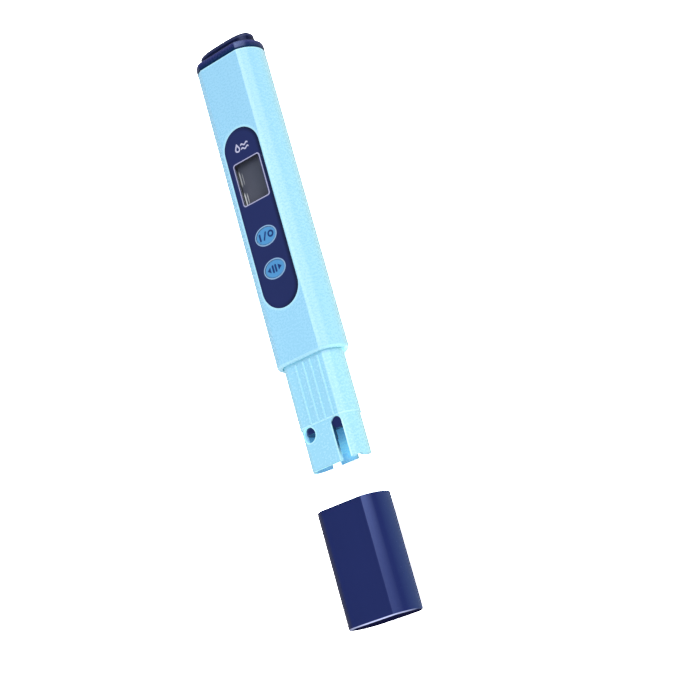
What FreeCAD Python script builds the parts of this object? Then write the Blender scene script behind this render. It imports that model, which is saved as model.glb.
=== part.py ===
import FreeCAD, Part
import math
import os

# Pen tester for liquids, lying on its flat back with the display up.
# Millimetres: X across the pen, Y along it towards the battery cap, Z up.
# The origin is the middle of the flat back of the body, on the plane it rests on.
# Y below is measured from the shoulder, where the probe sleeve leaves the body;
# write() moves each piece from the shoulder to the origin.
# A pen section is (half width of a flat facet, half depth, bulge of a side arc).

Vector = FreeCAD.Vector

# Body
BODY_L = 110.5              # shoulder to the top edge of the shell
HALF_DEPTH = 7.806
BODY = (7.95, HALF_DEPTH, 5.204)
WALL = 1.6
EDGE_R = 0.45               # rounding of the long facet edges
LIP_R = 0.95                # rounding at the shoulder
TOP_R = 0.25
AXIS_Z = HALF_DEPTH         # height of the pen's axis above its back
FRONT = 2 * HALF_DEPTH      # height of the front facet
ORIGIN_Y = BODY_L / 2

# Face: label, display opening, keys
LABEL_HALF_W = 7.365
LABEL_Y0, LABEL_Y1 = 18.30, 83.87
LABEL_T = 0.28
LABEL_GAP = 0.08            # between label and pocket edge
POCKET = 0.20               # depth of the label pocket
LABEL_Z = FRONT - POCKET + 0.01
WINDOW_X, WINDOW_Y = 0.25, 64.43
WINDOW_W, WINDOW_L = 10.6, 15.1     # clear opening in the label
ONOFF_KEY = (0.0, 43.91)
HOLD_KEY = (-0.05, 31.95)
KEY_A, KEY_B = 4.02, 2.92   # half axes of a key
KEY_GAP = 0.10

# Circuit board
PCB_Z, PCB_T = 7.0, 1.2
PCB_TOP = PCB_Z + PCB_T
PCB_HALF_W = 9.3
PCB_Y0, PCB_Y1 = 18.0, 90.0
PART_GAP = 0.02             # between the board and a part mounted on it
SEAT = PCB_TOP + PART_GAP   # parts on the front of the board start here
UNDERSIDE = PCB_Z - PART_GAP
SCREWS = ((-6.6, 22.6), (6.6, 22.6), (-6.6, 83.6), (6.6, 83.6))   # x, y

os.makedirs("parts", exist_ok=True)


# ------------------------------------------------------------------ helpers
def side_arc(section):
    """Radius and centre x of the section's right side arc."""
    half_facet, half_depth, bulge = section
    radius = (half_depth * half_depth + bulge * bulge) / (2.0 * bulge)
    return radius, half_facet + bulge - radius


def edges_along(solid, axis, length):
    """Edges whose ends are more than half the length apart along x, y or z."""
    return [e for e in solid.Edges
            if abs(getattr(e.Vertexes[0].Point, axis)
                   - getattr(e.Vertexes[-1].Point, axis)) > 0.5 * length]


def edges_at(solid, axis, level):
    """Edges lying wholly at one level of axis X, Y or Z."""
    return [e for e in solid.Edges
            if abs(getattr(e.BoundBox, axis + "Min") - level) < 1e-4
            and abs(getattr(e.BoundBox, axis + "Max") - level) < 1e-4]


def fillet_at(solid, axis, level, radius):
    return solid.makeFillet(radius, edges_at(solid, axis, level))


def prism(section, y0, y1, inset=0.0, edge=0.0):
    """Pen section extruded along Y, optionally inset and edge-rounded."""
    radius, centre = side_arc(section)
    radius -= inset
    half_depth = section[1] - inset
    half_w = centre + math.sqrt(radius * radius - half_depth * half_depth)
    reach = centre + radius
    back, front = AXIS_Z - half_depth, AXIS_Z + half_depth
    back_left, back_right = Vector(-half_w, y0, back), Vector(half_w, y0, back)
    front_left, front_right = Vector(-half_w, y0, front), Vector(half_w, y0, front)
    outline = Part.Wire([
        Part.makeLine(back_left, back_right),
        Part.Arc(back_right, Vector(reach, y0, AXIS_Z), front_right).toShape(),
        Part.makeLine(front_right, front_left),
        Part.Arc(front_left, Vector(-reach, y0, AXIS_Z), back_left).toShape(),
    ])
    solid = Part.Face(outline).extrude(Vector(0, y1 - y0, 0))
    if edge > 0:
        solid = solid.makeFillet(edge, edges_along(solid, "y", y1 - y0))
    return solid


def ring(section, y0, y1, outer, inner, edge=0.0):
    """Band between two insets of a pen section."""
    hole = prism(section, y0 - 0.1, y1 + 0.1, inset=inner)
    return prism(section, y0, y1, inset=outer, edge=edge).cut(hole)


def oval_prism(half_w, half_depth, fullness, y0, y1):
    """Superellipse section extruded along Y."""
    count = 48
    power = 2 / fullness
    points = []
    for k in range(count):
        angle = 2 * math.pi * k / count
        c, s = math.cos(angle), math.sin(angle)
        points.append(Vector(math.copysign(half_w * abs(c) ** power, c), y0,
                             AXIS_Z + math.copysign(half_depth * abs(s) ** power, s)))
    curve = Part.BSplineCurve()
    curve.interpolate(Points=points, PeriodicFlag=True)
    return Part.Face(Part.Wire([curve.toShape()])).extrude(Vector(0, y1 - y0, 0))


def box(x0, x1, y0, y1, z0, z1):
    """Box between two x, y and z; the x and z pairs may come in either order."""
    x0, x1 = sorted((x0, x1))
    z0, z1 = sorted((z0, z1))
    return Part.makeBox(x1 - x0, y1 - y0, z1 - z0, Vector(x0, y0, z0))


def round_box(x0, x1, y0, y1, z0, z1, radius):
    """Box with its upright edges rounded."""
    block = box(x0, x1, y0, y1, z0, z1)
    return block.makeFillet(radius, edges_along(block, "z", z1 - z0))


def upright(x, y, z0, z1, radius):
    """Cylinder along Z."""
    return Part.makeCylinder(radius, z1 - z0, Vector(x, y, z0), Vector(0, 0, 1))


def rod(x, y0, y1, radius):
    """Cylinder along Y at the height of the pen's axis."""
    return Part.makeCylinder(radius, y1 - y0, Vector(x, y0, AXIS_Z), Vector(0, 1, 0))


def stadium(half_w, y0, y1, z0, z1):
    """Round-ended strip centred on X = 0."""
    low, high = y0 + half_w, y1 - half_w

    def point(x, y):
        return Vector(x, y, z0)

    outline = Part.Wire([
        Part.makeLine(point(half_w, low), point(half_w, high)),
        Part.Arc(point(half_w, high), point(0, y1), point(-half_w, high)).toShape(),
        Part.makeLine(point(-half_w, high), point(-half_w, low)),
        Part.Arc(point(-half_w, low), point(0, y0), point(half_w, low)).toShape(),
    ])
    return Part.Face(outline).extrude(Vector(0, 0, z1 - z0))


def key_oval(place, grow, z0, z1):
    """Upright ellipse of a key's size, grown all round."""
    ellipse = Part.Ellipse(Vector(*place, z0), KEY_A + grow, KEY_B + grow)
    return Part.Face(Part.Wire([ellipse.toShape()])).extrude(Vector(0, 0, z1 - z0))


def cut_keys(solid, z0, z1):
    for place in (ONOFF_KEY, HOLD_KEY):
        solid = solid.cut(key_oval(place, KEY_GAP, z0, z1))
    return solid


def window_block(margin, z0, z1, radius):
    """Rounded block of the display opening's size plus a margin all round."""
    half_w, half_l = WINDOW_W / 2 + margin, WINDOW_L / 2 + margin
    return round_box(WINDOW_X - half_w, WINDOW_X + half_w,
                     WINDOW_Y - half_l, WINDOW_Y + half_l, z0, z1, radius)


def write(name, shape):
    shape = shape.copy()
    shape.translate(Vector(0, -ORIGIN_Y, 0))
    shape.exportStep("parts/" + name + ".step")


# --------------------------------------------------------------- body shell
def body_shell():
    shell = prism(BODY, 0, BODY_L, edge=EDGE_R)
    shell = fillet_at(shell, "Y", 0.0, LIP_R)
    shell = fillet_at(shell, "Y", BODY_L, TOP_R)
    shell = shell.cut(prism(BODY, -2, BODY_L + 2, inset=WALL))
    shell = shell.cut(stadium(LABEL_HALF_W + LABEL_GAP, LABEL_Y0 - LABEL_GAP,
                              LABEL_Y1 + LABEL_GAP, FRONT - POCKET, FRONT + 2))
    shell = shell.cut(window_block(0.5, FRONT - 3, FRONT + 2, 1.2))
    return cut_keys(shell, FRONT - 3, FRONT + 2)


write("body_shell", body_shell())

# ------------------------------------------------------------- probe sleeve
SLEEVE_DEPTH = 5.93         # half depth
SLEEVE = (7.30, SLEEVE_DEPTH, 3.80)
LOWER_INSET = 0.32          # inward step of the lower zone
BORE = 1.3 + LOWER_INSET    # inset of the bore: lower zone wall plus the step
SLEEVE_TOP = 12.0           # end of the sleeve inside the body
STEP_Y = -21.8
SLEEVE_END = -36.3
REAR_END = -35.3            # the end slants up to this on the rear wall
RIBS = (-3.86, -0.77, 2.08, 5.36)   # x on the front
RIB_W, RIB_H, RIB_R = 0.84, 0.38, 0.34
SLOT_X, SLOT_W, SLOT_TOP = 5.52, 3.84, -22.00
SLOT_ROUND_Y = SLOT_TOP - SLOT_W / 2
HOLE_X, HOLE_Y, HOLE_R = -5.95, -24.5, 2.62
REAR_SLOT_X, REAR_SLOT_W, REAR_SLOT_TOP = 5.275, 4.05, -22.6
NOTCH_ANGLE = 55.0          # degrees from the front towards the side
NOTCH_R, NOTCH_DEPTH = 1.1, 0.70


def rib(x, side):
    """Rib along the sleeve; side is 1 for the front, -1 for the rear."""
    crest = AXIS_Z + side * (SLEEVE_DEPTH + RIB_H)
    bar = box(x - RIB_W / 2, x + RIB_W / 2, STEP_Y + 0.3, -0.9,
              AXIS_Z + side * (SLEEVE_DEPTH - 0.3), crest)
    long_edges = [e for e in edges_at(bar, "Z", crest) if e.BoundBox.YLength > 1.0]
    return bar.makeFillet(RIB_R, long_edges)


def end_slot(x, width, top, z0, z1):
    """Cutter for a slot open at the sleeve end and round at the top."""
    half_w = width / 2
    slot = box(x - half_w, x + half_w, SLEEVE_END - 2, top - half_w, z0, z1)
    return slot.fuse(upright(x, top - half_w, z0, z1, half_w))


def slant_cutter():
    """Wedge that slants the end face from the axis up to the rear wall."""
    slant = (REAR_END - SLEEVE_END) / SLEEVE_DEPTH
    drop, half_w = 9, 15
    outline = ((SLEEVE_END - 3, AXIS_Z), (SLEEVE_END, AXIS_Z),
               (SLEEVE_END + drop * slant, AXIS_Z - drop),
               (SLEEVE_END - 3, AXIS_Z - drop), (SLEEVE_END - 3, AXIS_Z))   # y, z
    face = Part.Face(Part.makePolygon([Vector(-half_w, y, z) for y, z in outline]))
    return face.extrude(Vector(2 * half_w, 0, 0))


def notch_cutter(side):
    """Cylinder square to a rounded side, dipping into the sleeve end."""
    radius, centre = side_arc(SLEEVE)
    angle = math.radians(NOTCH_ANGLE)
    dx, dz = side * math.sin(angle), math.cos(angle)
    start = radius - 3.0
    return Part.makeCylinder(
        NOTCH_R, 6.0,
        Vector(side * centre + dx * start, SLEEVE_END + NOTCH_DEPTH - NOTCH_R,
               AXIS_Z + dz * start),
        Vector(dx, 0, dz))


def probe_sleeve():
    upper = prism(SLEEVE, STEP_Y, SLEEVE_TOP, edge=1.0)
    upper = fillet_at(upper, "Y", STEP_Y, 0.18)
    lower = prism(SLEEVE, SLEEVE_END, STEP_Y + 0.5, inset=LOWER_INSET, edge=0.9)
    lower = fillet_at(lower, "Y", SLEEVE_END, 0.3)
    sleeve = upper.fuse(lower)
    for x in RIBS:
        sleeve = sleeve.fuse(rib(x, 1))
        sleeve = sleeve.fuse(rib(-x, -1))
    sleeve = sleeve.cut(prism(SLEEVE, SLEEVE_END - 2, SLEEVE_TOP + 2, inset=BORE))
    # front: a slot on the right, a round hole on the left
    sleeve = sleeve.cut(end_slot(SLOT_X, SLOT_W, SLOT_TOP, AXIS_Z + 1.5, AXIS_Z + 9))
    sleeve = sleeve.cut(upright(HOLE_X, HOLE_Y, AXIS_Z + 1.0, AXIS_Z + 9, HOLE_R))
    # rear: a slot on each side and the slanted end face
    for side in (-1, 1):
        sleeve = sleeve.cut(end_slot(side * REAR_SLOT_X, REAR_SLOT_W, REAR_SLOT_TOP,
                                     AXIS_Z - 9, AXIS_Z - 1.5))
    sleeve = sleeve.cut(slant_cutter())
    for side in (-1, 1):
        sleeve = sleeve.cut(notch_cutter(side))
    return sleeve.removeSplitter()


write("probe_sleeve", probe_sleeve())

# ----------------------------------------------- electrode block and probes
BLOCK_END, BLOCK_TOP = -24.0, 10.0
LOCK_R = SLOT_W / 2 - 0.06
LOCK_Z0 = AXIS_Z + 2
LOCK_Z1 = AXIS_Z + SLEEVE_DEPTH - LOWER_INSET - 0.5
GROOVE_Y0, GROOVE_Y1 = 3.0, 4.6
SEAL_GAP = 0.05             # between the seal and each groove side
PIN_X, PIN_R = 4.9, 0.8
PIN_TIP, PIN_TOP = -33.2, 12.6
THERM_R = 0.95
THERM_TIP, THERM_TOP = -28.4, 11.6
FIT = 0.02                  # radial gap round pins and temperature probe


def electrode_block():
    block = prism(SLEEVE, BLOCK_END, BLOCK_TOP, inset=BORE + 0.04, edge=0.6)
    block = fillet_at(block, "Y", BLOCK_END, 0.4)
    # locating key that seats in the closed end of the sleeve's front slot
    lock = upright(SLOT_X, SLOT_ROUND_Y, LOCK_Z0, LOCK_Z1, LOCK_R)
    lock = lock.fuse(box(SLOT_X - LOCK_R, SLOT_X + LOCK_R, BLOCK_END + 0.05, SLOT_ROUND_Y,
                         LOCK_Z0, LOCK_Z1))
    block = block.fuse(lock.removeSplitter()).removeSplitter()
    block = block.cut(ring(SLEEVE, GROOVE_Y0, GROOVE_Y1, BORE - 0.5, BORE + 0.74))
    for x, radius in ((-PIN_X, PIN_R), (PIN_X, PIN_R), (0, THERM_R)):
        block = block.cut(rod(x, -40, 20, radius + FIT))
    return block


def probe(x, tip, top, radius, tip_r):
    """Rod with a rounded outer tip."""
    return fillet_at(rod(x, tip, top, radius), "Y", tip, tip_r)


write("electrode_block", electrode_block())
write("electrode_seal", ring(SLEEVE, GROOVE_Y0 + SEAL_GAP, GROOVE_Y1 - SEAL_GAP,
                             BORE + 0.02, BORE + 0.72, edge=0.3))
write("electrode_pin_left", probe(-PIN_X, PIN_TIP, PIN_TOP, PIN_R, 0.5))
write("electrode_pin_right", probe(PIN_X, PIN_TIP, PIN_TOP, PIN_R, 0.5))
write("temperature_probe", probe(0, THERM_TIP, THERM_TOP, THERM_R, 0.8))

# ------------------------------------- probe cap, pulled off along the axis
CAP = (7.83, 7.69, 5.13)
CAP_RIM, CAP_END = -49.54, -88.20
CAP_WALL, CAP_FLOOR = 1.2, 1.7
CAP_END_R, CAP_RIM_R = 0.5, 0.1


def probe_cap():
    cap = prism(CAP, CAP_END, CAP_RIM, edge=EDGE_R)
    cap = fillet_at(cap, "Y", CAP_END, CAP_END_R)
    cap = fillet_at(cap, "Y", CAP_RIM, CAP_RIM_R)
    cap = cap.cut(prism(CAP, CAP_END + CAP_FLOOR, CAP_RIM + 2, inset=CAP_WALL))
    return cap.removeSplitter()


write("probe_cap", probe_cap())

# ---------------------------------------------- battery cap and its seal
FLANGE_Y0 = BODY_L + 0.04
FLANGE_Y1 = FLANGE_Y0 + 2.85
GRIP_Y1 = FLANGE_Y1 + 4.30
GRIP_HALF_W, GRIP_HALF_DEPTH, GRIP_FULLNESS = 11.0, 4.5, 2.85
SKIRT_Y0 = BODY_L - 5.2
SKIRT_T = 1.2
SKIRT_INSET = WALL + 0.12
CAP_GROOVE_Y0, CAP_GROOVE_Y1 = BODY_L - 3.6, BODY_L - 2.0
CAP_SEAL_GAP = 0.04


def battery_cap():
    flange = prism(BODY, FLANGE_Y0, FLANGE_Y1, inset=-0.06, edge=EDGE_R)
    flange = fillet_at(flange, "Y", FLANGE_Y1, 0.6)
    grip = oval_prism(GRIP_HALF_W, GRIP_HALF_DEPTH, GRIP_FULLNESS, FLANGE_Y1 - 1.0, GRIP_Y1)
    grip = fillet_at(grip, "Y", GRIP_Y1, 0.94)
    skirt = prism(BODY, SKIRT_Y0, FLANGE_Y0 + 0.8, inset=SKIRT_INSET, edge=0.3)
    cap = flange.fuse(grip).fuse(skirt)
    cap = cap.cut(prism(BODY, SKIRT_Y0 - 1, FLANGE_Y0 + 1.2, inset=SKIRT_INSET + SKIRT_T))
    groove = ring(BODY, CAP_GROOVE_Y0, CAP_GROOVE_Y1, WALL - 0.4, SKIRT_INSET + 0.6)
    return cap.cut(groove).removeSplitter()


write("battery_cap", battery_cap())
write("battery_cap_seal", ring(BODY, CAP_GROOVE_Y0 + CAP_SEAL_GAP, CAP_GROOVE_Y1 - CAP_SEAL_GAP,
                               WALL + 0.04, SKIRT_INSET + 0.57, edge=0.3))


# ---------------------------------------------------- face label and window
def face_label():
    label = stadium(LABEL_HALF_W, LABEL_Y0, LABEL_Y1, LABEL_Z, LABEL_Z + LABEL_T)
    label = label.cut(window_block(0, LABEL_Z - 1, LABEL_Z + 2, 0.8))
    return cut_keys(label, LABEL_Z - 1, LABEL_Z + 2)


def display_window():
    """Pane in the opening, with a wider flange under the label."""
    pane = window_block(-0.06, FRONT - 1.0, FRONT + 0.02, 0.75)
    flange = window_block(0.42, FRONT - WALL - 0.1, FRONT - POCKET - 0.02, 1.1)
    return pane.fuse(flange).removeSplitter()


write("face_label", face_label())
write("display_window", display_window())

# --------------------------------------------------------- keys and switches
KEY_TOP = FRONT + 0.08
CROWN_H, CROWN_INSET = 0.14, 0.5
PLUNGER_TOP = PCB_TOP + 3.70
SWITCH_HALF_W, SWITCH_H = 3.0, 3.0
STUD_OFFSET = 2.2           # corner studs from the switch's centre


def button(place):
    body = key_oval(place, 0, FRONT - WALL - 0.6, KEY_TOP)
    body = fillet_at(body, "Z", KEY_TOP, 0.22)
    # low crown: a flattened sphere half sunk in the top
    crown = Part.makeSphere(1.0)
    squash = FreeCAD.Matrix()
    squash.scale(KEY_A - CROWN_INSET, KEY_B - CROWN_INSET, CROWN_H)
    crown = crown.transformGeometry(squash)
    crown.translate(Vector(*place, KEY_TOP))
    body = body.fuse(crown)
    # flange behind the shell wall, then the stem down to the plunger
    body = body.fuse(key_oval(place, 0.75, FRONT - WALL - 1.05, FRONT - WALL - 0.12))
    body = body.fuse(upright(*place, PLUNGER_TOP + 0.02, FRONT - WALL - 0.9, 1.3))
    return body.removeSplitter()


def switch_base(place):
    x, y = place
    base = round_box(x - SWITCH_HALF_W, x + SWITCH_HALF_W, y - SWITCH_HALF_W,
                     y + SWITCH_HALF_W, SEAT, SEAT + SWITCH_H, 0.4)
    base = base.cut(upright(x, y, SEAT + 1.4, SEAT + 4, 1.62))
    for dx in (-STUD_OFFSET, STUD_OFFSET):
        for dy in (-STUD_OFFSET, STUD_OFFSET):
            base = base.fuse(upright(x + dx, y + dy, SEAT + 2.9, SEAT + 3.12, 0.35))
    return base.removeSplitter()


def switch_plunger(place):
    plunger = upright(*place, SEAT + 1.75, PLUNGER_TOP, 1.55)
    return fillet_at(plunger, "Z", PLUNGER_TOP, 0.25)


for name, place in (("onoff", ONOFF_KEY), ("hold", HOLD_KEY)):
    write(name + "_button", button(place))
    write(name + "_switch_base", switch_base(place))
    write(name + "_switch_plunger", switch_plunger(place))

# ------------------------------------------------------------ display stack
GLASS_X0, GLASS_X1 = WINDOW_X - 6.6, WINDOW_X + 6.6
GLASS_Y0, GLASS_Y1 = WINDOW_Y - 10.4, WINDOW_Y + 9.2
LEDGE = 2.6                 # length of front glass left bare by the rear glass
FRAME_MARGIN, FRAME_GAP = 1.25, 0.05
POST_TOP = 11.18


def glass_block(margin, z0, z1):
    """Box of the front glass's outline plus a margin all round."""
    return box(GLASS_X0 - margin, GLASS_X1 + margin,
               GLASS_Y0 - margin, GLASS_Y1 + margin, z0, z1)


def lcd_frame():
    frame = round_box(GLASS_X0 - FRAME_MARGIN, GLASS_X1 + FRAME_MARGIN,
                      GLASS_Y0 - FRAME_MARGIN, GLASS_Y1 + FRAME_MARGIN, SEAT, 13.78, 0.8)
    frame = frame.cut(glass_block(FRAME_GAP, PCB_TOP + 1, 13.56))
    # viewing opening
    frame = frame.cut(box(GLASS_X0 + 0.9, GLASS_X1 - 0.9, GLASS_Y0 + 2.9, GLASS_Y1 - 0.9,
                          13, 15))
    frame = frame.cut(glass_block(FRAME_GAP, PCB_TOP - 1, PCB_TOP + 1.1))
    # posts under the reflector, tied to the side walls by short webs
    post_ys = (GLASS_Y0 + 4.2, GLASS_Y1 - 1.5)
    for x in (GLASS_X0 + 1.5, GLASS_X1 - 1.5):
        for y in post_ys:
            frame = frame.fuse(upright(x, y, SEAT, POST_TOP, 0.9))
    for side, x in ((-1, GLASS_X0), (1, GLASS_X1)):
        for y in post_ys:
            frame = frame.fuse(box(x - side * 1.6, x + side * 0.6, y - 0.5, y + 0.5,
                                   SEAT, POST_TOP))
    # trim to the inside of the shell
    return frame.removeSplitter().common(
        prism(BODY, GLASS_Y0 - 3, GLASS_Y1 + 3, inset=WALL + 0.1))


write("lcd_glass_front", glass_block(0, 12.50, 13.50))
write("lcd_glass_rear", box(GLASS_X0, GLASS_X1, GLASS_Y0 + LEDGE, GLASS_Y1, 11.44, 12.46))
write("lcd_reflector", box(GLASS_X0 + 0.3, GLASS_X1 - 0.3,
                           GLASS_Y0 + LEDGE + 0.3, GLASS_Y1 - 0.3, 11.20, 11.42))
write("zebra_strip", box(GLASS_X0 + 0.5, GLASS_X1 - 0.5,
                         GLASS_Y0 + 0.35, GLASS_Y0 + 2.25, SEAT, 12.48))
write("lcd_frame", lcd_frame())

# ------------------------------------------------- circuit board and its parts
AMPLIFIER = (0.0, 22.8)
LEAD_PITCH = 1.27
TALL_PART_Z = PCB_Z - 2.6   # lowest face of the crystal and the trimmer
TRIMMER = (5.2, 39.8)
TRIMMER_HALF_W = 2.2

# x, y of small parts on the back of the board
CAPACITORS = ((-6.0, 44.0), (-6.0, 47.0), (6.3, 49.0), (6.3, 54.0), (6.3, 58.0),
              (-3.0, 76.0), (0.5, 76.0))
RESISTORS = ((-5.8, 34.0), (-5.8, 36.0), (-5.8, 38.0), (-2.2, 50.0), (-2.2, 52.0),
             (1.4, 52.0), (4.4, 76.0), (6.6, 72.0))


def circuit_board():
    board = round_box(-PCB_HALF_W, PCB_HALF_W, PCB_Y0, PCB_Y1, PCB_Z, PCB_TOP, 1.0)
    for x, y in SCREWS:
        board = board.cut(upright(x, y, PCB_Z - 1, PCB_TOP + 1, 1.1))
    return board


def controller_chip():
    bottom = UNDERSIDE - 1.5
    return fillet_at(upright(0, 64, bottom, UNDERSIDE, 4.2), "Z", bottom, 1.2)


def amplifier_chip():
    """Body with four bent leads on each side."""
    x, y = AMPLIFIER
    chip = box(x - 2.0, x + 2.0, y - 2.5, y + 2.5, PCB_TOP + 0.15, PCB_TOP + 1.6)
    lead_top = PCB_TOP + 0.9
    for k in range(4):
        lead_y = y + (k - 1.5) * LEAD_PITCH
        for side in (-1, 1):
            for inner, bottom in ((1.9, PCB_TOP + 0.7), (2.8, SEAT)):
                chip = chip.fuse(box(x + side * inner, x + side * 3.0,
                                     lead_y - 0.2, lead_y + 0.2, bottom, lead_top))
    return chip.removeSplitter()


def trimmer_base():
    x, y = TRIMMER
    base = box(x - TRIMMER_HALF_W, x + TRIMMER_HALF_W, y - TRIMMER_HALF_W,
               y + TRIMMER_HALF_W, TALL_PART_Z, UNDERSIDE)
    return base.cut(upright(x, y, PCB_Z - 3, PCB_Z - 2.2, 1.5))


def trimmer_rotor():
    x, y = TRIMMER
    rotor = upright(x, y, PCB_Z - 2.9, PCB_Z - 2.22, 1.4)
    return rotor.cut(box(x - 1.7, x + 1.7, y - 0.25, y + 0.25, PCB_Z - 3.1, PCB_Z - 2.6))


def small_parts(places, half_w, half_l, height):
    return Part.makeCompound([
        box(x - half_w, x + half_w, y - half_l, y + half_l, UNDERSIDE - height, UNDERSIDE)
        for x, y in places])


write("circuit_board", circuit_board())
write("controller_chip", controller_chip())
write("amplifier_chip", amplifier_chip())
write("clock_crystal", round_box(-6.9, -4.5, 52.2, 60.2, TALL_PART_Z, UNDERSIDE, 1.1))
write("calibration_trimmer_base", trimmer_base())
write("calibration_trimmer_rotor", trimmer_rotor())
write("capacitors", small_parts(CAPACITORS, 1.0, 0.62, 1.0))
write("resistors", small_parts(RESISTORS, 0.8, 0.42, 0.5))

# ------------------------------------------- inner chassis and board screws
CHASSIS_Y0, CHASSIS_Y1 = 16.4, 90.6
CHASSIS_TOP = PCB_Z - 0.03
HEAD_Z0, HEAD_Z1 = PCB_TOP + 0.03, PCB_TOP + 1.05
FLOOR_WINDOWS = (26.5, 44.0, 61.5)  # lower y of each
FLOOR_WINDOW_L = 14.0


def inner_chassis():
    chassis = box(-8.3, 8.3, CHASSIS_Y0, CHASSIS_Y1, 2.2, 3.4)
    for side in (-1, 1):
        chassis = chassis.fuse(box(side * 7.9, side * 9.5, CHASSIS_Y0, CHASSIS_Y1,
                                   3.1, CHASSIS_TOP))
    chassis = chassis.fuse(box(-8.1, 8.1, CHASSIS_Y0, CHASSIS_Y0 + 1.2, 3.0, PCB_Z + 0.6))
    for x, y in SCREWS:
        chassis = chassis.fuse(upright(x, y, 2.6, CHASSIS_TOP, 1.2))
    for x, y in SCREWS:
        chassis = chassis.cut(upright(x, y, 3.2, PCB_Z + 1, 0.72))
    # windows that lighten the floor
    for y in FLOOR_WINDOWS:
        chassis = chassis.cut(round_box(-5.0, 5.0, y, y + FLOOR_WINDOW_L, 1, 3.6, 1.0))
    return chassis.removeSplitter()


def board_screw(x, y):
    """Screw with a cross recess in its head."""
    shank = upright(x, y, 3.5, HEAD_Z0, 0.68)
    head = fillet_at(upright(x, y, HEAD_Z0, HEAD_Z1, 1.75), "Z", HEAD_Z1, 0.35)
    screw = shank.fuse(head)
    for half_x, half_y in ((0.9, 0.17), (0.17, 0.9)):
        screw = screw.cut(box(x - half_x, x + half_x, y - half_y, y + half_y,
                              PCB_TOP + 0.55, PCB_TOP + 2))
    return screw


write("inner_chassis", inner_chassis())
write("board_screws", Part.makeCompound([board_screw(x, y) for x, y in SCREWS]))

# ------------------------------------------ battery holder, cells, contacts
CELL_R, CELL_T, CELL_Y = 5.8, 5.4, 98.6
CELL_GAP = 0.02             # from the middle of the pen to each cell
HOLDER_Y0, HOLDER_Y1 = 91.0, 104.9
HOLDER_HALF_W, HOLDER_HALF_H = 8.6, 6.1
BAY_HALF_W, BAY_R = 6.9, CELL_R + 0.12


def cell_disc(x0, x1, radius):
    """Cylinder along X on the cells' axis."""
    return Part.makeCylinder(radius, x1 - x0, Vector(x0, CELL_Y, AXIS_Z), Vector(1, 0, 0))


def battery_holder():
    holder = box(-HOLDER_HALF_W, HOLDER_HALF_W, HOLDER_Y0, HOLDER_Y1,
                 AXIS_Z - HOLDER_HALF_H, AXIS_Z + HOLDER_HALF_H)
    holder = holder.cut(cell_disc(-BAY_HALF_W, BAY_HALF_W, BAY_R))
    holder = holder.cut(box(-BAY_HALF_W, BAY_HALF_W, CELL_Y, HOLDER_Y1 + 2,
                            AXIS_Z - BAY_R, AXIS_Z + BAY_R))
    # thumb openings above and below the cells
    holder = holder.cut(box(-5.0, 5.0, HOLDER_Y0 + 3.4, HOLDER_Y1 + 2, AXIS_Z - 8, AXIS_Z + 8))
    holder = holder.removeSplitter()
    corners = [e for e in holder.Edges
               if e.BoundBox.YLength < 1e-6 and e.BoundBox.XLength < 1e-6
               and abs(abs(e.BoundBox.XMin) - HOLDER_HALF_W) < 1e-4
               and e.BoundBox.ZLength > 12]
    holder = holder.makeFillet(0.8, corners)
    return holder.common(prism(BODY, HOLDER_Y0 - 1, HOLDER_Y1 + 1, inset=WALL + 0.12))


def cell(x0):
    """Button cell with its smaller negative face towards +X."""
    x1 = x0 + CELL_T
    can = cell_disc(x0, x1 - 0.45, CELL_R)
    negative = cell_disc(x1 - 0.6, x1, CELL_R - 1.1)
    rims = [e for e in can.Edges
            if abs(e.BoundBox.ZLength - 2 * CELL_R) < 1e-3 and e.BoundBox.XLength < 1e-6]
    return can.makeFillet(0.35, rims).fuse(negative).removeSplitter()


def contact_plate(side):
    return box(side * 6.46, side * 6.76, CELL_Y - 4.2, CELL_Y + 4.6,
               AXIS_Z - 3.6, AXIS_Z + 3.6)


def negative_contact():
    """Right plate with a raised cup towards the cell."""
    cup = cell_disc(5.55, 6.5, 1.5).cut(cell_disc(5.5, 6.3, 1.1))
    return contact_plate(1).fuse(cup).removeSplitter()


def positive_contact():
    """Left plate with two raised fins towards the cell."""
    contact = contact_plate(-1)
    for y in (CELL_Y - 1.6, CELL_Y + 1.2):
        contact = contact.fuse(box(-6.5, -5.50, y, y + 0.4, AXIS_Z - 1.8, AXIS_Z + 1.8))
    return contact.removeSplitter()


write("battery_holder", battery_holder())
write("battery_cell_left", cell(-CELL_T - CELL_GAP))
write("battery_cell_right", cell(CELL_GAP))
write("battery_contact_negative", negative_contact())
write("battery_contact_positive", positive_contact())

# --------------------------------------------------------------- lead wires
LEAD_R, THERM_LEAD_R = 0.42, 0.3
JOINT_Z = PCB_TOP + 0.1     # where the wires meet the board

# x, y, z along the right-hand wire of each pair
ELECTRODE_PATH = (
    (PIN_X, 12.98, AXIS_Z), (PIN_X + 0.2, 14.6, AXIS_Z + 1.6),
    (PIN_X + 0.3, 16.8, AXIS_Z + 3.3), (PIN_X - 0.2, 19.0, AXIS_Z + 2.4),
    (PIN_X - 0.3, 20.2, JOINT_Z))
THERM_PATH = (
    (0.42, 11.70, AXIS_Z), (0.6, 13.6, AXIS_Z + 1.4), (0.9, 16.2, AXIS_Z + 2.8),
    (0.8, 18.0, AXIS_Z + 1.9), (0.8, 18.9, JOINT_Z))
BATTERY_PATH = (
    (8.2, 88.6, JOINT_Z), (8.5, 89.2, PCB_TOP + 1.6), (9.2, 90.6, PCB_TOP + 1.2),
    (9.6, 92.6, PCB_TOP - 0.4))


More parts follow.
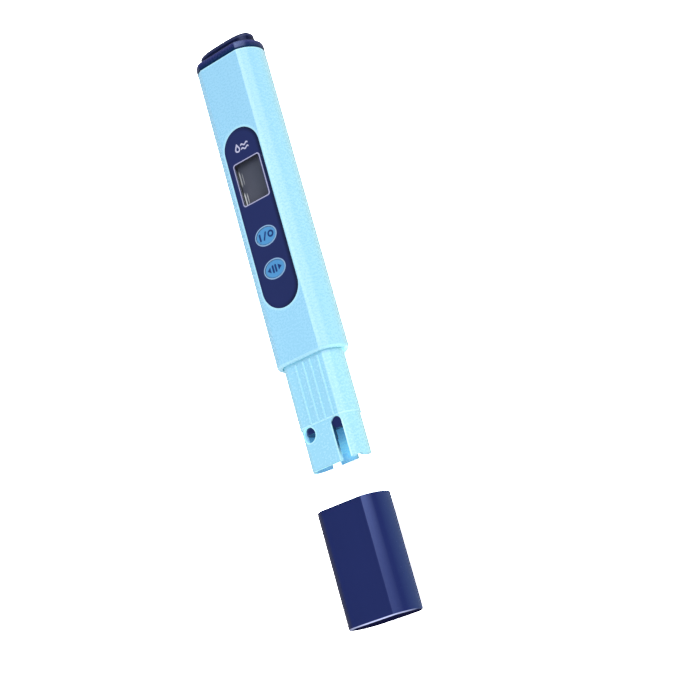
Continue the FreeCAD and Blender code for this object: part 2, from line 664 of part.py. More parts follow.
def wire(points, radius):
    """Round wire swept along a smooth curve through the points."""
    curve = Part.BSplineCurve()
    curve.interpolate(points)
    path = Part.Wire([curve.toShape()])
    start = curve.value(curve.FirstParameter)
    tangent = curve.tangent(curve.FirstParameter)[0]
    circle = Part.Wire([Part.Circle(start, tangent, radius).toShape()])
    sweep = path.makePipeShell([circle], True, True)
    # the sweep may come back as a closed shell
    return sweep if sweep.ShapeType == "Solid" else Part.Solid(sweep)


def wire_pair(path, radius):
    """The wire along the path and its mirror image on the left."""
    return Part.makeCompound([
        wire([Vector(side * x, y, z) for x, y, z in path], radius) for side in (-1, 1)])


write("electrode_wires", wire_pair(ELECTRODE_PATH, LEAD_R))
write("thermistor_wires", wire_pair(THERM_PATH, THERM_LEAD_R))
write("battery_wires", wire_pair(BATTERY_PATH, LEAD_R))
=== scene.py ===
import math

import bmesh
import bpy
from mathutils import Matrix, Vector


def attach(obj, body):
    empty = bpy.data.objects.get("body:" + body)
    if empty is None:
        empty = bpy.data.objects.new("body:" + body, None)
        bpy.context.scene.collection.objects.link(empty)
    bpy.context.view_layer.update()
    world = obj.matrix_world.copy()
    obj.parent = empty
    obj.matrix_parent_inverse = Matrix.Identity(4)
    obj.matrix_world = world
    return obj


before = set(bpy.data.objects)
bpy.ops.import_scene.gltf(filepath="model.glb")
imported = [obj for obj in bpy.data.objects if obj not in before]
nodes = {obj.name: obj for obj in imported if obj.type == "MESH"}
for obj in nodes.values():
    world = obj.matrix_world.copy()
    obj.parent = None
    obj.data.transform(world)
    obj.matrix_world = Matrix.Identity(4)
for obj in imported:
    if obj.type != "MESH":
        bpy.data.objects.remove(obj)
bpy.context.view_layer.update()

scene = bpy.context.scene

# =====================================================================
# sizes and places
# =====================================================================
MM = 0.001
Y_ORIGIN = 55.25          # millimetre drawing height that lies at y = 0


def drawing_y(y):
    """Scene y in metres of a drawing height in millimetres."""
    return (y - Y_ORIGIN) * MM


# drawing places, millimetres
WINDOW = (0.25, 64.43)    # centre of the display window
ONOFF_KEY = (0.0, 43.91)
HOLD_KEY = (-0.05, 31.95)
KEY_HALF = (4.02, 2.92)   # half width and half height of a key
KEY_EDGE = 0.5            # width of the key's border outside its crown
CROWN = 0.14              # rise of the key's crown
FRONT_Z = 15.612          # face of the moulding
KEY_INK_Z = FRONT_Z + 0.08 + CROWN
LABEL_INK_Z = FRONT_Z + 0.092
INK_THICK = 0.02
SLOT_X, SLOT_HALF = 5.52, 1.92

# places used by the materials, metres
WINDOW_X, WINDOW_Y = WINDOW[0] * MM, drawing_y(WINDOW[1])
HOLE_X, HOLE_Y = -5.95 * MM, drawing_y(-24.5)         # round hole in the sleeve
SLOT_LEFT = (SLOT_X - SLOT_HALF) * MM                 # open slot in the sleeve
SLOT_RIGHT = (SLOT_X + SLOT_HALF) * MM
SLOT_Y = drawing_y(-22.0 - SLOT_HALF)
AXIS_Z = 0.007806                                     # height of the long axis
POCKET_LOW, POCKET_HIGH = -0.029585, 0.021255         # centres of the label's round ends
SLEEVE_FRONT_Z = 0.0119                               # underside of the sleeve's front wall
CAP_FLAT_HALF, CAP_HALF_Z, CAP_ROUND = 0.004631, 0.007690, 0.008329   # outline of probe cap
GRIP_Y = 0.05812                                      # the grip begins above its flange
BODY_TOP_Y = 0.05515                                  # the flange begins above the body


# =====================================================================
# colour and node helpers
# =====================================================================
def linear(level):
    level = level / 255.0
    return level / 12.92 if level <= 0.04045 else ((level + 0.055) / 1.055) ** 2.4


def rgb(r, g, b):
    return (linear(r), linear(g), linear(b), 1.0)


SOCKETS = {
    "color": "Base Color", "rough": "Roughness", "metal": "Metallic", "ior": "IOR",
    "spec": "Specular IOR Level", "coat": "Coat Weight", "coat_rough": "Coat Roughness",
    "normal": "Normal", "emit": "Emission Color", "emit_strength": "Emission Strength",
    "aniso": "Anisotropic", "tint": "Specular Tint", "coat_tint": "Coat Tint",
}


class Mat:
    """A small builder for node materials. Masks run from 0 to 1; places are in metres."""

    def __init__(self, name):
        self.material = bpy.data.materials.new(name)
        self.material.use_nodes = True
        self.tree = self.material.node_tree
        self.tree.nodes.clear()
        self.out = self.node("ShaderNodeOutputMaterial")
        self.bsdf = self.node("ShaderNodeBsdfPrincipled")
        self.link(self.bsdf.outputs[0], self.out.inputs[0])
        self.place = self.node("ShaderNodeTexCoord").outputs["Object"]

    def node(self, kind, **props):
        made = self.tree.nodes.new(kind)
        for key, value in props.items():
            setattr(made, key, value)
        return made

    def link(self, source, socket):
        self.tree.links.new(source, socket)

    def put(self, socket, value):
        """Link a socket, or store a plain value."""
        if hasattr(value, "is_output"):
            self.link(value, socket)
        else:
            socket.default_value = value

    def set(self, **values):
        for key, value in values.items():
            self.put(self.bsdf.inputs[SOCKETS[key]], value)

    def surface(self, shader):
        """Use another shader in place of the Principled one."""
        self.tree.nodes.remove(self.bsdf)
        self.link(shader.outputs[0], self.out.inputs[0])

    # --- coordinates and textures ---
    def stretch(self, scale):
        mapping = self.node("ShaderNodeMapping")
        mapping.inputs["Scale"].default_value = scale
        mapping.inputs["Location"].default_value = (0, 0, 0)
        self.link(self.place, mapping.inputs["Vector"])
        return mapping.outputs[0]

    def noise(self, scale, detail=3.0, rough=0.5, vector=None):
        noise = self.node("ShaderNodeTexNoise")
        noise.inputs["Scale"].default_value = scale
        noise.inputs["Detail"].default_value = detail
        noise.inputs["Roughness"].default_value = rough
        noise.inputs["Distortion"].default_value = 0.0
        self.link(vector or self.place, noise.inputs["Vector"])
        return noise.outputs["Fac"]

    def xyz(self, source=None):
        split = self.node("ShaderNodeSeparateXYZ")
        self.link(source or self.place, split.inputs[0])
        return split.outputs[0], split.outputs[1], split.outputs[2]

    def face_normal(self):
        return self.node("ShaderNodeNewGeometry").outputs["Normal"]

    # --- arithmetic ---
    def math(self, operation, a, b=0.0, c=None):
        result = self.node("ShaderNodeMath", operation=operation)
        self.put(result.inputs[0], a)
        self.put(result.inputs[1], b)
        if c is not None:
            self.put(result.inputs[2], c)
        return result.outputs[0]

    def times(self, first, *rest):
        for factor in rest:
            first = self.math("MULTIPLY", first, factor)
        return first

    def most(self, first, *rest):
        for other in rest:
            first = self.math("MAXIMUM", first, other)
        return first

    def minus(self, a, b):
        return self.math("SUBTRACT", a, b)

    def above(self, value, limit):
        return self.math("GREATER_THAN", value, limit)

    def below(self, value, limit):
        return self.math("LESS_THAN", value, limit)

    def distance(self, a, b):
        squares = self.math("ADD", self.times(a, a), self.times(b, b))
        return self.math("SQRT", squares)

    def turn(self, nx, nz):
        """Degrees by which a surface turns from the front (+Z) toward +X."""
        return self.times(self.math("ARCTAN2", nx, nz), 57.2958)

    def dot(self, a, b):
        product = self.node("ShaderNodeVectorMath", operation="DOT_PRODUCT")
        self.link(a, product.inputs[0])
        self.link(b, product.inputs[1])
        return product.outputs["Value"]

    # --- masks ---
    def remap(self, value, start, end, first, last):
        ranged = self.node("ShaderNodeMapRange")
        for i, entry in enumerate((value, start, end, first, last)):
            self.put(ranged.inputs[i], entry)
        return ranged.outputs[0]

    def rise(self, value, start, end, top=1.0):
        """From 0 at start to top at end."""
        return self.remap(value, start, end, 0.0, top)

    def fall(self, value, start, end, top=1.0):
        """From top at start to 0 at end."""
        return self.remap(value, start, end, top, 0.0)

    def band(self, value, low, high, soft):
        """1 inside low..high, fading over soft at both ends."""
        return self.times(self.rise(value, low - soft, low + soft),
                          self.fall(value, high - soft, high + soft))

    def spread(self, noise, first, last):
        """The middle part of a noise stretched over first..last."""
        return self.remap(noise, 0.3, 0.7, first, last)

    def edge(self, radius):
        """0 on flats, rising on convex edges."""
        bevel = self.node("ShaderNodeBevel", samples=4)
        bevel.inputs["Radius"].default_value = radius
        return self.rise(self.dot(bevel.outputs[0], self.face_normal()), 1.0, 0.80)

    def grazing(self, low, high, side):
        """Rises as a surface turns away from the eye; side +1 or -1 picks faces toward +X or -X."""
        weight = self.node("ShaderNodeLayerWeight")
        weight.inputs["Blend"].default_value = 0.5
        away = self.rise(weight.outputs["Facing"], low, high)
        nx = self.xyz(self.face_normal())[0]
        return self.times(away, self.rise(self.times(nx, side), 0.25, 0.40))

    # --- colours and relief ---
    def mix(self, factor, a, b, blend="MIX"):
        mixer = self.node("ShaderNodeMix", data_type="RGBA", blend_type=blend)
        self.put(mixer.inputs["Factor"], factor)
        self.put(mixer.inputs[6], a)
        self.put(mixer.inputs[7], b)
        return mixer.outputs[2]

    def paint(self, under, mask, r, g, b):
        """Lay an 8-bit colour over another colour."""
        return self.mix(mask, under, rgb(r, g, b))

    def vary(self, noise, a, b):
        """Two colours mottled by a noise."""
        return self.mix(self.spread(noise, 0.0, 1.0), a, b)

    def ramp(self, factor, stops):
        ramp = self.node("ShaderNodeValToRGB")
        elements = ramp.color_ramp.elements
        while len(elements) < len(stops):
            elements.new(0.5)
        for element, (position, color) in zip(elements, stops):
            element.position = position
            element.color = color
        self.link(factor, ramp.inputs[0])
        return ramp.outputs[0]

    def bump(self, height, strength, distance, normal=None):
        bump = self.node("ShaderNodeBump")
        bump.inputs["Strength"].default_value = strength
        bump.inputs["Distance"].default_value = distance
        self.link(height, bump.inputs["Height"])
        if normal is not None:
            self.link(normal, bump.inputs["Normal"])
        return bump.outputs[0]


def moulded(name, base, shade, light, rough, coat=0.0, spec=0.5, grain=1.0, painted_edge=None,
            tint=None, extra=None, glow_and_shine=None):
    """Injection-moulded plastic: slow drift, flow marks across Y, fine grain, edges painted as a
    highlight.

    Colours are 8-bit. extra repaints the colour, painted light and shade included; the last
    argument sets further inputs, such as a painted glow.
    """
    m = Mat(name)
    slow = m.noise(22.0, detail=2.0)
    flow = m.noise(60.0, rough=0.55, vector=m.stretch((1.0, 0.12, 1.0)))
    fine = m.noise(5200.0, detail=2.0, rough=0.6)
    speck = m.noise(1400.0, detail=2.0)
    color = m.mix(m.rise(slow, 0.35, 0.65, top=0.5), rgb(*base), rgb(*shade))
    color = m.paint(color, m.rise(flow, 0.35, 0.70, top=0.32), *light)
    # painted highlight along convex edges; where the edge colour is darker than the base, as on the
    # label, it is painted shade
    color = m.paint(color, m.times(m.edge(radius=0.0004), 0.35), *(painted_edge or light))
    if extra:
        color = extra(m, color)
    gloss = m.spread(speck, rough - 0.035, rough + 0.045)
    gloss = m.math("ADD", gloss, m.spread(flow, -0.02, 0.02))
    normal = m.bump(fine, strength=0.10 * grain, distance=0.00002)
    normal = m.bump(speck, strength=0.06 * grain, distance=0.00006, normal=normal)
    m.set(color=color, rough=gloss, coat=coat, coat_rough=0.12, spec=spec, normal=normal, ior=1.49)
    if tint:
        m.set(tint=tint, coat_tint=tint)
    if glow_and_shine:
        glow_and_shine(m)
    return m.material


# =====================================================================
# light blue moulding
# =====================================================================
def painted_side_light(m, color):
    """Painted light: the rounded +X side is painted a little paler and greener as it curves away
    from the front.
    """
    nx, ny, nz = m.xyz(m.face_normal())
    mask = m.times(m.rise(m.turn(nx, nz), 45.0, 92.0), m.fall(m.math("ABSOLUTE", ny), 0.3, 0.6))
    return m.mix(mask, color, (1.20, 1.15, 0.98, 1), "MULTIPLY")


def pocket_distance(m, x, y):
    """Distance from the centre line of the label's round-ended pocket."""
    nearest = m.math("MINIMUM", m.most(y, POCKET_LOW), POCKET_HIGH)
    return m.distance(x, m.minus(y, nearest))


def body_look(m, color):
    half_x, half_y, soft = 0.0065, 0.0088, 0.0001     # opening of the display
    x, y, z = m.xyz()
    # the colour darkens a little toward +Y
    deepen = m.ramp(m.rise(y, -0.055, 0.055),
                    [(0.0, (0.98, 0.975, 0.985, 1)), (1.0, (0.93, 0.92, 0.94, 1))])
    color = painted_side_light(m, m.mix(1.0, color, deepen, "MULTIPLY"))
    # painted shade: the walls of the display opening below the face are painted dark grey
    well_shade = m.times(m.band(x, WINDOW_X - half_x, WINDOW_X + half_x, soft),
                   m.band(y, WINDOW_Y - half_y, WINDOW_Y + half_y, soft),
                   m.fall(z, 0.01525, 0.01535))
    color = m.paint(color, well_shade, 66, 62, 76)
    # painted highlight: paler along the two ends and round the pocket of the label
    low_end = m.fall(y, -0.05505, -0.05435, top=0.72)
    high_end = m.rise(y, 0.05455, 0.05505, top=0.7)
    halo = m.times(m.fall(pocket_distance(m, x, y), 0.00750, 0.00840, top=0.62),
                   m.rise(z, 0.0150, 0.0153))
    color = m.paint(color, m.most(low_end, high_end, halo), 182, 232, 246)
    # painted reflection: a pale rim where the +X side turns away from the eye
    return m.paint(color, m.times(m.grazing(0.45, 0.95, side=1), 0.75), 206, 236, 240)


def faces_axis(m, normal, x, z):
    """1 where a surface looks in toward the long axis."""
    outward = m.node("ShaderNodeCombineXYZ")
    m.link(m.times(x, 0.45), outward.inputs[0])
    m.link(m.minus(z, AXIS_Z), outward.inputs[2])
    return m.below(m.dot(outward.outputs[0], normal), -0.0012)


def lip_glow(m):
    """Painted glow: emission stands in for the little light that reaches into the gap under the -Y
    lip of the moulding.
    """
    normal = m.face_normal()
    x, y, z = m.xyz()
    inner = m.times(faces_axis(m, normal, x, z), m.below(y, -0.0500))
    # painted light: the +X end of the lip glows as if lit from the side
    ny = m.xyz(normal)[1]
    side = m.times(m.rise(x, 0.0092, 0.0120), m.fall(y, -0.05500, -0.05430))
    low = m.times(m.fall(z, 0.0062, 0.0074), m.above(x, 0.006), m.below(y, -0.0543))
    cut = m.times(low, m.most(m.fall(ny, -0.8, -0.4), inner))
    deep = m.mix(m.rise(y, -0.0552, -0.0520), rgb(130, 220, 222), rgb(80, 150, 190))
    # strengths: 0.20 at the side, 0.55 on the low cut, 0.13 inside
    lit = m.most(m.times(side, 0.20), m.times(cut, 0.55))
    m.set(emit=m.paint(deep, cut, 205, 236, 236),
          emit_strength=m.most(m.times(inner, 0.13), lit))


# =====================================================================
# light blue sleeve round the probe
# =====================================================================
def inner_faces(m):
    """1 on the inner faces of the sleeve, 0 on its outside and on the walls of its openings."""
    normal = m.face_normal()
    x, y, z = m.xyz()
    return m.times(faces_axis(m, normal, x, z), m.below(z, SLEEVE_FRONT_Z))


def hole_distance(m, x, y):
    return m.distance(m.minus(x, HOLE_X), m.minus(y, HOLE_Y))


def hole_wall(m):
    """1 on the cut wall of the round hole."""
    x, y, z = m.xyz()
    return m.times(m.below(hole_distance(m, x, y), 0.00264), m.above(z, SLEEVE_FRONT_Z))


def end_faces(m):
    """1 on the cut -Y end of the sleeve."""
    ny = m.xyz(m.face_normal())[1]
    y = m.xyz()[1]
    return m.times(m.fall(ny, -0.95, -0.80), m.below(y, -0.0885))


def painted_inner_light(m):
    """Painted light: colour standing in for light soaking through the thin wall, a deeper blue,
    lighter toward the open -Y end.
    """
    x, y, z = m.xyz()
    color = m.ramp(m.rise(y, -0.0916, -0.0790), [
        (0.0, rgb(112, 158, 182)), (0.25, rgb(112, 191, 233)), (0.5, rgb(106, 182, 214)),
        (0.8, rgb(84, 154, 196)), (1.0, rgb(66, 128, 170))])
    # painted light: beside the round hole the wall is paler, as if lit through the opening
    near = m.times(m.rise(z, 0.0083, 0.0092, top=0.9), m.below(x, -0.0060),
                   m.above(y, -0.0860))
    color = m.paint(color, near, 140, 194, 222)
    # painted shade: duller behind the short front edge
    dull = m.times(m.fall(x, -0.0030, 0.0005), m.below(y, -0.0875), 0.8)
    return m.paint(color, dull, 94, 150, 188)


def sleeve_look(m, color):
    soft = 0.00006
    x, y, z = m.xyz()
    # painted highlight: a paler crest along the step of the sleeve, round the hole and along the
    # open slot
    crest = m.times(m.band(y, -0.07718, -0.07678, soft), 0.85)
    rim = m.times(m.band(hole_distance(m, x, y), 0.00266, 0.00300, soft), 0.7)
    left = m.times(m.band(x, SLOT_LEFT - 0.00055, SLOT_LEFT - 0.00004, soft),
                   m.below(y, SLOT_Y))
    right = m.times(m.band(x, SLOT_RIGHT + 0.00004, SLOT_RIGHT + 0.00040, soft),
                    m.below(y, SLOT_Y))
    sides = m.times(m.most(left, right), 0.6)
    pale = m.most(crest, m.times(m.most(rim, sides), m.above(z, 0.0130)))
    color = m.paint(painted_side_light(m, color), pale, 190, 238, 250)
    # painted reflection: a pale rim where the +X side turns away from the eye
    color = m.paint(color, m.times(m.grazing(0.45, 0.95, side=1), 0.6), 206, 236, 240)
    # -X wall of the slot: painted shade near its closed end, painted light at the mouth
    nx = m.xyz(m.face_normal())[0]
    wall = m.times(m.band(x, SLOT_LEFT - 0.00008, SLOT_LEFT + 0.00190, soft=0.00004),
                   m.rise(nx, 0.80, 0.95), m.above(z, 0.0095))
    shade = m.mix(m.rise(y, -0.0905, -0.0862), rgb(176, 232, 242), rgb(26, 70, 104))
    color = m.mix(wall, color, shade)
    # painted light: the cut wall of the round hole is painted pale
    color = m.paint(color, hole_wall(m), 164, 214, 228)
    # the inner faces take the painted light and shade of the inside
    return m.mix(inner_faces(m), color, painted_inner_light(m))


def sleeve_glow(m):
    """Painted glow: emission on the cuts, the inner faces and the +Y end stands in for light
    carried inside the wall.
    """
    x, y, z = m.xyz()
    front = m.above(z, 0.0078)
    cut = m.most(end_faces(m), hole_wall(m))
    cut_color = m.mix(front, rgb(140, 184, 196), rgb(166, 250, 252))
    glow = m.mix(cut, painted_inner_light(m), cut_color)
    lit = m.times(cut, m.remap(front, 0.0, 1.0, first=0.24, last=0.50))
    glow = m.paint(glow, m.rise(y, -0.0562, -0.0557), 104, 226, 214)
    lit = m.most(lit, m.rise(y, -0.05570, -0.05545, top=0.07))
    low = m.times(m.fall(z, 0.0060, 0.0072, top=0.30), m.above(x, 0.006),
                  m.rise(y, -0.0566, -0.0560))
    lit = m.most(lit, low)
    m.set(emit=glow, emit_strength=m.most(m.times(inner_faces(m), 0.7), lit))


# =====================================================================
# navy caps and label
# =====================================================================
def probe_cap_look(m, color):
    """Painted highlight: a pale line round the front of the closed -Y end; painted shade: the end
    itself is dark.
    """
    nx, ny, nz = m.xyz(m.face_normal())
    x, y, z = m.xyz()
    edge = m.times(m.band(y, -0.14352, -0.14316, soft=0.00006), m.rise(nz, 0.05, 0.30))
    # distance of a point of the end face from its outline
    aside = m.most(m.minus(m.math("ABSOLUTE", x), CAP_FLAT_HALF), 0.0)
    height = m.minus(z, AXIS_Z)
    radius = m.distance(aside, height)
    inset = m.math("MINIMUM", m.minus(CAP_HALF_Z, height), m.minus(CAP_ROUND, radius))
    face = m.fall(ny, -0.90, -0.80)
    border = m.times(m.fall(inset, 0.0011, 0.0016), m.rise(z, 0.0085, 0.0125))
    # painted sheen along the +X shoulder, weaker toward the closed end
    turn = m.turn(nx, nz)
    levels = ((0.0, 0.42), (0.35, 0.50), (0.65, 0.70), (1.0, 1))
    along = m.ramp(m.rise(y, -0.1435, -0.1060), [(at, (v, v, v, 1)) for at, v in levels])
    sheen = m.times(m.rise(turn, 20.0, 23.0), m.fall(turn, 33.0, 48.0), along)
    # painted shade: the front is darker where the open end meets the sleeve
    deep = m.times(m.rise(y, -0.1066, -0.1050, top=0.5), m.rise(nz, 0.5, 0.9))
    color = m.paint(color, deep, 16, 28, 72)
    color = m.paint(color, sheen, 62, 74, 124)
    # painted reflection of the floor: paler as the +X side turns down
    color = m.paint(color, m.rise(turn, 55.0, 100.0), 50, 68, 110)
    # painted shade: the closed end face is dark
    color = m.paint(color, face, 16, 18, 48)
    # the painted highlight line fades away from x = 2 mm
    off_centre = m.math("ABSOLUTE", m.minus(x, 0.002))
    line = m.times(m.most(edge, m.times(border, face)),
                   m.remap(off_centre, 0.004, 0.0118, first=1.0, last=0.35))
    # painted shade where the -X side turns away from the eye
    color = m.paint(color, m.times(m.grazing(0.40, 0.60, side=-1), 0.7), 12, 20, 52)
    return m.paint(color, line, 196, 204, 246)


def probe_cap_matt(m):
    """The closed end and the two sides mirror less of the floor than the front."""
    nx, ny, nz = m.xyz(m.face_normal())
    plus_x = m.math("MULTIPLY_ADD", m.rise(nx, 0.30, 0.42), -0.72, 1.0)
    minus_x = m.math("MULTIPLY_ADD", m.grazing(0.40, 0.60, side=-1), -0.85, 1.0)
    m.set(spec=m.times(m.rise(ny, -0.97, -0.80, top=0.5), m.times(minus_x, plus_x)))


def battery_cap_look(m, color):
    """Painted shade where grip, flange and body meet; painted highlight on the flange's corner."""
    soft = 0.0001
    x, y, z = m.xyz()
    nx, ny, nz = m.xyz(m.face_normal())
    turn = m.turn(nx, nz)
    corner = m.times(m.rise(turn, 18.0, 22.0), m.fall(turn, 36.0, 52.0))
    grip = m.above(y, GRIP_Y)
    # painted light and shade on the grip: a greyer lit middle, a shaded foot, a shaded +Y edge
    color = m.paint(color, m.times(m.band(y, 0.0610, 0.0620, soft), 0.8), 50, 56, 86)
    foot = m.times(grip, m.fall(y, 0.0607, 0.0612, top=0.92),
                   m.remap(corner, 0.0, 1.0, first=1.0, last=0.6))
    color = m.paint(color, foot, 4, 12, 44)
    top_edge = m.times(m.rise(y, 0.0618, 0.0621, top=0.9), m.fall(ny, 0.90, 0.98))
    color = m.paint(color, top_edge, 6, 6, 24)
    # flange: painted highlight on its rim and corner, painted shade on its seat against the body
    rim = m.times(m.band(y, 0.0571, 0.0580, soft), m.minus(1.0, grip), 0.7)
    color = m.paint(color, rim, 52, 58, 108)
    color = m.paint(color, m.times(corner, m.minus(1.0, grip), 0.8), 66, 80, 124)
    seat = m.times(m.fall(y, 0.0556, 0.0569, top=0.95), m.above(y, BODY_TOP_Y))
    corner_seat = m.remap(y, 0.0556, 0.0560, first=1.0, last=0.25)
    seat = m.times(seat, m.remap(corner, 0.0, 1.0, first=1.0, last=corner_seat))
    return m.paint(color, seat, 2, 34, 68)


def battery_cap_matt(m):
    """The grip shines less than its flange, and so does the flange's seat."""
    y = m.xyz()[1]
    shine = m.remap(y, 0.0580, 0.0583, first=0.5, last=0.22)
    seat = m.remap(y, 0.0555, 0.0561, first=0.10, last=1.0)
    m.set(spec=m.times(shine, m.most(seat, m.below(y, BODY_TOP_Y))))


def label_look(m, color):
    """Painted shade: the pocket wall's thin shadow on the border of the label, mostly at +X."""
    x, y, z = m.xyz()
    border = m.rise(pocket_distance(m, x, y), 0.0058, 0.0070, top=0.95)
    mask = m.times(border, m.remap(x, -0.002, 0.004, first=0.25, last=1.0))
    return m.paint(color, mask, 10, 22, 58)


# =====================================================================
# other materials
# =====================================================================
def rubber(name):
    m = Mat(name)
    grain = m.noise(2600.0, rough=0.6)
    m.set(color=m.vary(m.noise(90.0), rgb(30, 30, 32), rgb(40, 40, 42)),
          rough=m.spread(grain, 0.62, 0.78), spec=0.3,
          normal=m.bump(grain, strength=0.25, distance=0.00004))
    return m.material


def metal(name, base, dark, rough, along=(1.0, 0.04, 1.0), scale=1800.0):
    """Brushed metal; along squeezes the brush marks per axis."""
    m = Mat(name)
    brush = m.noise(scale, rough=0.6, vector=m.stretch(along))
    stain = m.noise(160.0, rough=0.6)
    color = m.mix(m.rise(stain, 0.4, 0.75, top=0.5), rgb(*base), rgb(*dark))
    color = m.paint(color, m.rise(brush, 0.35, 0.65, top=0.25), *dark)
    m.set(color=color, metal=1.0, rough=m.spread(brush, rough - 0.05, rough + 0.08),
          normal=m.bump(brush, strength=0.12, distance=0.00002), aniso=0.4)
    return m.material


def grained(name, scale, base, other, rough, bump, **surface):
    """Plain fine-grained stuff; rough is a low and a high, bump a strength and a distance."""
    m = Mat(name)
    grain = m.noise(scale, rough=0.6)
    m.set(color=m.vary(grain, rgb(*base), rgb(*other)), rough=m.spread(grain, *rough),
          normal=m.bump(grain, *bump), **surface)
    return m.material


def board(name):
    """Copper tracks under green solder mask, with a faint weave."""
    m = Mat(name)
    x, y, z = m.xyz()
    brick = m.node("ShaderNodeTexBrick")
    brick.inputs["Scale"].default_value = 330.0
    brick.inputs["Mortar Size"].default_value = 0.035
    brick.inputs["Mortar Smooth"].default_value = 0.3
    m.link(m.stretch((1.0, 0.6, 1.0)), brick.inputs["Vector"])
    tracks = brick.outputs["Fac"]
    weave = m.times(*(m.math("SINE", m.times(axis, 12000.0)) for axis in (x, y)))
    color = m.mix(tracks, rgb(14, 92, 48), rgb(36, 132, 74))
    color = m.paint(color, m.rise(weave, -1, 1, top=0.12), 90, 160, 90)
    m.set(color=color, rough=0.28, coat=0.4,
          normal=m.bump(tracks, strength=0.4, distance=0.00004))
    return m.material


def zebra(name, pitch=0.0004):
    """Rubber strip with dark conducting stripes across X."""
    m = Mat(name)
    x = m.xyz()[0]
    stripe = m.above(m.math("SINE", m.times(x, 2 * math.pi / pitch)), 0.0)
    m.set(color=m.mix(stripe, rgb(190, 120, 122), rgb(38, 36, 38)),
          rough=m.spread(m.noise(3000.0), 0.5, 0.65))
    return m.material


def wire_jacket(name):
    """Red at +X, black at -X."""
    m = Mat(name)
    right = m.above(m.xyz()[0], 0.0)
    grain = m.noise(3000.0, detail=2.0)
    red = m.vary(grain, rgb(176, 28, 24), rgb(160, 22, 20))
    black = m.vary(grain, rgb(30, 30, 32), rgb(38, 38, 40))
    m.set(color=m.mix(right, black, red), rough=0.42,
          normal=m.bump(grain, strength=0.1, distance=0.00003))
    return m.material


def window_clear(name):
    """Clear acrylic: mostly see-through, with a faint surface reflection and fine haze."""
    m = Mat(name)
    haze = m.noise(2600.0, rough=0.6)
    gloss = m.node("ShaderNodeBsdfGlossy")
    gloss.inputs["Color"].default_value = (1, 1, 1, 1)
    m.link(m.spread(haze, 0.02, 0.06), gloss.inputs["Roughness"])
    clear = m.node("ShaderNodeBsdfTransparent")
    m.link(m.vary(haze, (0.96, 0.97, 0.975, 1), (0.985, 0.99, 0.995, 1)), clear.inputs["Color"])
    fresnel = m.node("ShaderNodeFresnel")
    fresnel.inputs["IOR"].default_value = 1.35
    geometry = m.node("ShaderNodeNewGeometry")
    front = m.minus(1.0, geometry.outputs["Backfacing"])
    mixer = m.node("ShaderNodeMixShader")
    m.link(m.times(fresnel.outputs[0], front), mixer.inputs[0])
    m.link(clear.outputs[0], mixer.inputs[1])
    m.link(gloss.outputs[0], mixer.inputs[2])
    m.surface(mixer)
    return m.material


# painted glints: slanting reflections painted on the display glass, metres from the window centre:
# x, half width, y from, y to, strength
GLINTS = (
    (-0.0054, 0.00020, -0.0072, -0.0024, 1.0),
    (-0.0044, 0.00018, -0.0062, -0.0028, 0.50),
    (-0.0053, 0.00022, 0.0006, 0.0056, 0.50),
    (-0.0043, 0.00015, 0.0008, 0.0046, 0.30),
)


def lcd_face(name):
    """Display glass, switched off: dark neutral grey with painted glints along its -X side."""
    m = Mat(name)
    x, y, z = m.xyz()
    # painted shade: darker toward +Y and toward +X
    color = m.mix(m.rise(y, drawing_y(56.0), drawing_y(73.0)), rgb(90, 92, 106), rgb(70, 74, 88))
    color = m.paint(color, m.spread(m.noise(120.0, detail=2.0), 0.0, 0.3), 78, 80, 94)
    darker = m.rise(x, WINDOW_X - 0.003, WINDOW_X + 0.002, top=0.8)
    color = m.paint(color, darker, 66, 70, 84)
    ripple = m.noise(700.0, detail=2.0, rough=0.6, vector=m.stretch((0.2, 1.0, 1.0)))
    wavy_x = m.math("ADD", x, m.times(ripple, 0.00018))
    glints = [
        m.times(m.band(wavy_x, WINDOW_X + at - half, WINDOW_X + at + half, soft=half * 0.6),
                m.band(y, WINDOW_Y + start, WINDOW_Y + end, soft=0.0006), strength)
        for at, half, start, end, strength in GLINTS]
    # the painted glints are laid over the grey in white
    m.set(color=m.mix(m.most(*glints), color, (1.0, 1.0, 1.0, 1.0)),
          rough=m.spread(m.noise(3000.0), 0.10, 0.16), spec=0.5, coat=0.3)
    return m.material


# =====================================================================
# the palette and the pieces that wear it
# =====================================================================
NAVY_TONES = dict(base=(28, 38, 88), shade=(25, 35, 81), light=(32, 42, 95), grain=0.12)
NAVY_TINT = (0.50, 0.60, 1.0, 1.0)
GRIP_TINT = (0.60, 0.68, 1.0, 1.0)

BLUE = moulded("plastic_light_blue", (143, 200, 229), (139, 196, 226), (152, 207, 233),
               rough=0.27, spec=0.70, painted_edge=(180, 232, 246), grain=0.25,
               extra=body_look, glow_and_shine=lip_glow)
SLEEVE = moulded("plastic_light_blue_sleeve", (146, 203, 229), (142, 199, 226), (156, 210, 234),
                 rough=0.26, spec=0.78, painted_edge=(190, 240, 252), grain=0.25,
                 extra=sleeve_look, glow_and_shine=sleeve_glow)
NAVY = moulded("plastic_navy", **NAVY_TONES, rough=0.22, painted_edge=(52, 62, 120), tint=NAVY_TINT)
NAVY_CAP = moulded("plastic_navy_cap", **NAVY_TONES, rough=0.22, painted_edge=(52, 62, 120),
                   tint=NAVY_TINT, extra=probe_cap_look, glow_and_shine=probe_cap_matt)
NAVY_GRIP = moulded("plastic_navy_grip", **NAVY_TONES, rough=0.26, painted_edge=(60, 70, 124),
                    tint=GRIP_TINT, extra=battery_cap_look, glow_and_shine=battery_cap_matt)
LABEL = moulded("label_navy", (27, 38, 87), (24, 36, 81), (31, 42, 93),
                rough=0.46, spec=0.25, painted_edge=(24, 26, 70), extra=label_look)
KEY = moulded("key_blue", (70, 134, 188), (64, 128, 182), (80, 144, 196),
              rough=0.42, spec=0.35, painted_edge=(104, 166, 212))
